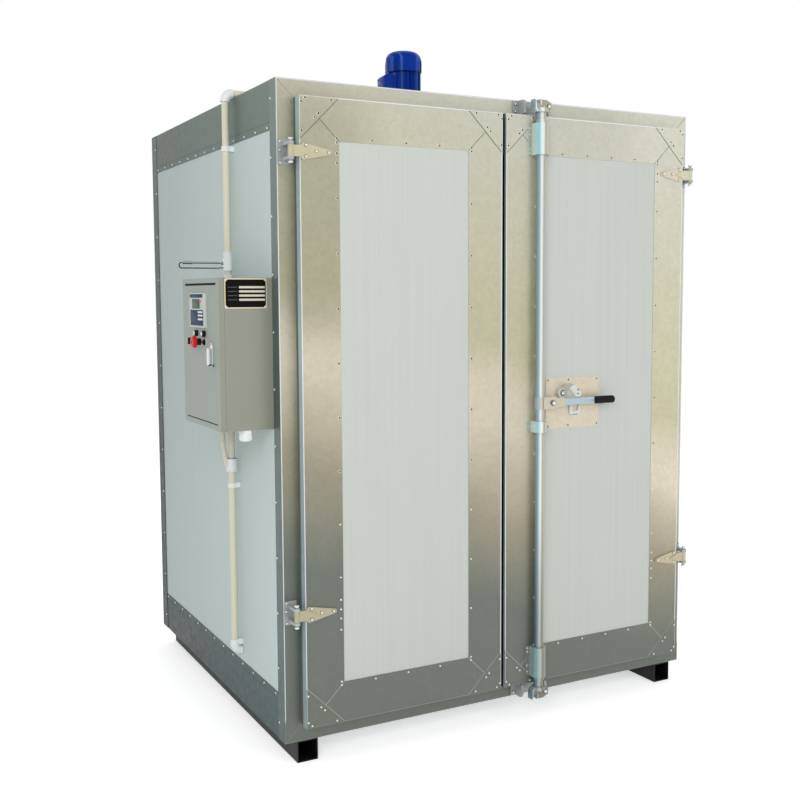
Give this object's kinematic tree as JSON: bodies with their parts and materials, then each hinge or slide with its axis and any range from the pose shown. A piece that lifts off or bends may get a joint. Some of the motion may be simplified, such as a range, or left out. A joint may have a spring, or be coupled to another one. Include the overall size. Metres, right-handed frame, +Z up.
{
  "type": "powder coating oven",
  "caption": "Insulated box oven on two skids with two hinged doors, a cam lock rod, a side control cabinet and a roof fan motor.",
  "frame": {"origin": "centre of the overall footprint, on the floor under the skids", "axes": "+Z up, +Y from the doors to the back, +X to the right when facing the doors"},
  "size_m": [1.94, 1.6204, 2.583],
  "materials": {
    "galvanised": "spangled galvanised sheet",
    "white_panel": "satin white coated sheet",
    "liner": "galvanised liner",
    "black_steel": "satin black paint",
    "seal": "woven high-temperature seal",
    "zinc": "bright zinc plate",
    "backing_plate": "galvanised sheet",
    "black_rubber": "matte rubber",
    "grey_paint": "fine texture powder coat",
    "black_plate": "gloss black plate",
    "white_plastic": "satin white plastic",
    "cream_plastic": "satin cream plastic",
    "black_plastic": "satin black plastic",
    "red_plastic": "gloss red plastic",
    "chrome": "polished chrome",
    "motor_blue": "gloss blue paint",
    "grey_steel": "grey paint"
  },
  "bodies": {
    "root": {"left_skid": "black_steel", "right_skid": "black_steel", "floor_panel": "white_panel", "roof_panel": "white_panel", "left_wall_panel": "white_panel", "right_wall_panel": "white_panel", "back_wall_panel": "white_panel", "side_bottom_channels": "galvanised", "side_top_channels": "galvanised", "back_channels": "galvanised", "rear_left_strip": "galvanised", "rear_right_strip": "galvanised", "front_left_post": "galvanised", "front_right_post": "galvanised", "front_sill": "galvanised", "front_header": "galvanised", "hinge_brackets": "zinc", "lock_keepers": "zinc", "cabinet_box": "grey_paint", "cabinet_hinges": "grey_paint", "rating_plate": "black_plate", "cable_gland": "white_plastic", "wall_conduit": "cream_plastic", "roof_conduit": "cream_plastic", "branch_conduit": "cream_plastic", "conduit_fittings": "white_plastic", "conduit_clips": "cream_plastic", "temperature_probe": "chrome", "probe_lead": "black_plastic", "motor_stool": "grey_steel", "motor_body": "motor_blue", "motor_fan_cover": "motor_blue", "motor_terminal_box": "motor_blue"},
    "left_door": {"left_door_frame": "galvanised", "left_door_panel": "white_panel", "left_door_gussets": "galvanised", "left_door_plug": "liner", "left_door_gasket": "seal", "left_door_straps": "zinc"},
    "right_door": {"right_door_frame": "galvanised", "right_door_panel": "white_panel", "right_door_gussets": "galvanised", "right_door_plug": "liner", "right_door_gasket": "seal", "right_door_straps": "zinc", "rod_guides": "zinc", "handle_plate": "backing_plate", "handle_catch": "zinc"},
    "lock_rod": {"lock_rod": "zinc", "handle_hub": "zinc"},
    "lock_handle": {"handle_bar": "zinc", "handle_grip": "black_rubber"},
    "cabinet_door": {"cabinet_door": "grey_paint", "temperature_controller": "white_plastic", "pilot_lamps": "white_plastic", "push_button": "black_plastic", "cabinet_latch": "chrome"},
    "selector": {"selector_switch": "black_plastic"},
    "stop_button": {"emergency_stop": "red_plastic"}
  },
  "joints": [
    {"name": "left_door_swing", "type": "hinge", "parent": "root", "child": "left_door", "pos_m": [-0.728, -0.76185, 2.039], "axis": [0, 0, -1], "range_deg": [0, 180]},
    {"name": "right_door_swing", "type": "hinge", "parent": "root", "child": "right_door", "pos_m": [0.944, -0.76185, 2.039], "axis": [0, 0, 1], "range_deg": [0, 180]},
    {"name": "lock_rod_turn", "type": "hinge", "parent": "right_door", "child": "lock_rod", "pos_m": [0.225, -0.77985, 1.185], "axis": [0, 0, -1], "range_deg": [0, 100]},
    {"name": "lock_handle_lift", "type": "hinge", "parent": "lock_rod", "child": "lock_handle", "pos_m": [0.265, -0.79285, 1.185], "axis": [0, -1, 0], "range_deg": [0, 20]},
    {"name": "cabinet_door_swing", "type": "hinge", "parent": "root", "child": "cabinet_door", "pos_m": [-0.927, -0.24085, 1.388], "axis": [0, 0, -1], "range_deg": [0, 115]},
    {"name": "selector_turn", "type": "hinge", "parent": "cabinet_door", "child": "selector", "pos_m": [-0.936, -0.35985, 1.425], "axis": [1, 0, 0], "range_deg": [-45, 45]},
    {"name": "stop_press", "type": "slide", "parent": "cabinet_door", "child": "stop_button", "axis": [1, 0, 0], "range_m": [0, 0.004], "stiffness_N_per_m": 500}
  ]
}
